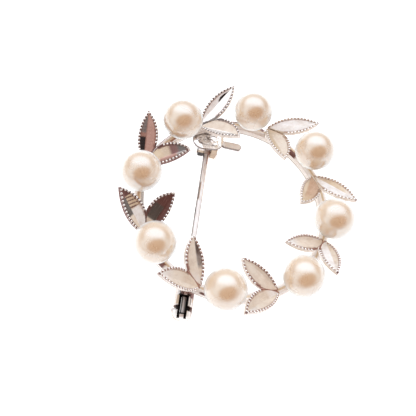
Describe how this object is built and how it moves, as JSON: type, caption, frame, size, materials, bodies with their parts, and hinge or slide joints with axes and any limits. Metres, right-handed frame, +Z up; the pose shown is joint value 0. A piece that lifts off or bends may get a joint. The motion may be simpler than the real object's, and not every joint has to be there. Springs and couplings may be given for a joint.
{
  "type": "brooch",
  "caption": "Round wreath brooch: a wire ring with paired boat-shaped leaves and pearls in cups, a hinged pin behind and a turning safety catch.",
  "frame": {"origin": "on the surface that the brooch lies on, under the middle of its bounding box", "axes": "+Z up from that surface, +Y towards the hinge end of the pin, +X to the right of the wreath seen from its front, which faces up and leans towards +X because the pin's fittings raise the left side"},
  "size_m": [0.0376, 0.0394, 0.0155],
  "materials": {
    "silver": "polished",
    "findings": "polished",
    "pearl": "lustrous"
  },
  "bodies": {
    "frame": {"wreath_frame": "silver", "pearl_1": "pearl", "pearl_2": "pearl", "pearl_3": "pearl", "pearl_4": "pearl", "pearl_5": "pearl", "pearl_6": "pearl", "pearl_7": "pearl", "pearl_8": "pearl", "hinge_rivet": "findings"},
    "pin": {"pin_stem": "findings"},
    "roller": {"catch_roller": "findings"}
  },
  "joints": [
    {"name": "pin_hinge", "type": "hinge", "parent": "frame", "child": "pin", "pos_m": [-0.00561, 0.0119, 0.00121], "axis": [0.9715, -0.1275, -0.2], "range_deg": [0, 100]},
    {"name": "catch_turn", "type": "hinge", "parent": "frame", "child": "roller", "pos_m": [-0.00932, -0.01686, 0.00153], "axis": [0.1279, 0.9917, -0.0112], "range_deg": [0, 180]}
  ]
}
